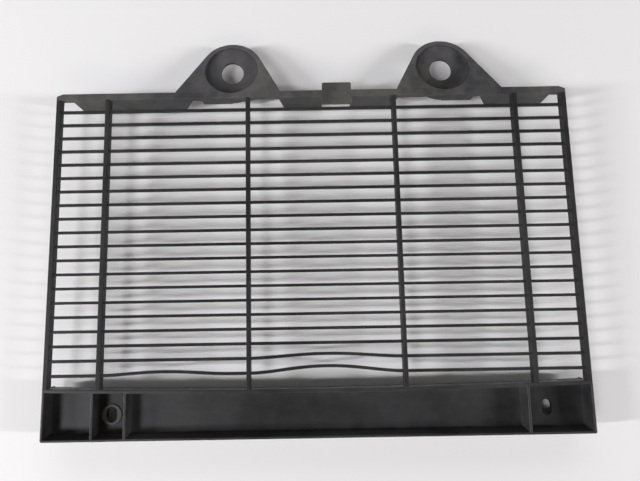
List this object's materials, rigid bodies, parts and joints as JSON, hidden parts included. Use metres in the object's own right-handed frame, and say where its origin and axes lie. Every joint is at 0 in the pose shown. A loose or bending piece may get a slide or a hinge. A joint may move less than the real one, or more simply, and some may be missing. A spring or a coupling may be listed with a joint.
{
  "type": "motorcycle radiator guard",
  "caption": "One-piece moulded plastic grille that guards a motorcycle radiator, with a flanged top rail, drilled ears and a slotted panel along the bottom.",
  "frame": {"origin": "middle of the width and of the length, in the plane of the rear edges it lies on", "axes": "+X to the right along the bars, +Y up the grille towards the ears, +Z out of the front face"},
  "size_m": [0.34, 0.2606, 0.0215],
  "materials": {
    "moulded_plastic": "satin black, lightly worn"
  },
  "bodies": {
    "root": {"radiator_guard": "moulded_plastic"}
  },
  "joints": []
}
